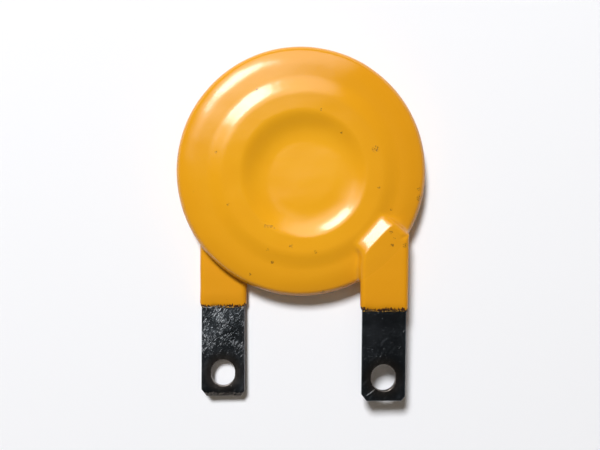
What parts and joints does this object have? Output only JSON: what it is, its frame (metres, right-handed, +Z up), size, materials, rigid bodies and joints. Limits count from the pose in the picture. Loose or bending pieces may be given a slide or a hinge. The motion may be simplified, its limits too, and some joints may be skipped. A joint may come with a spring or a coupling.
{
  "type": "metal oxide varistor",
  "caption": "Dipped round varistor with a raised ring on each face and two flat strap terminals, each with an oblong screw hole.",
  "frame": {"origin": "centre of the bounding box's bottom face, with the part lying on its back face", "axes": "+Z up through the front face, straps towards -Y, front terminal on the +X side"},
  "size_m": [0.039, 0.0554, 0.0066],
  "materials": {
    "epoxy": "glossy dipped epoxy, amber yellow",
    "ceramic": "fired zinc-oxide ceramic",
    "silver": "matt fired silver",
    "solder": "reflowed solder",
    "tinned_metal": "tinned sheet, glossy, darkened and scratched"
  },
  "bodies": {
    "root": {"coating": "epoxy", "ceramic_disc": "ceramic", "front_electrode": "silver", "back_electrode": "silver", "front_solder": "solder", "back_solder": "solder", "front_terminal": "tinned_metal", "back_terminal": "tinned_metal"}
  },
  "joints": []
}
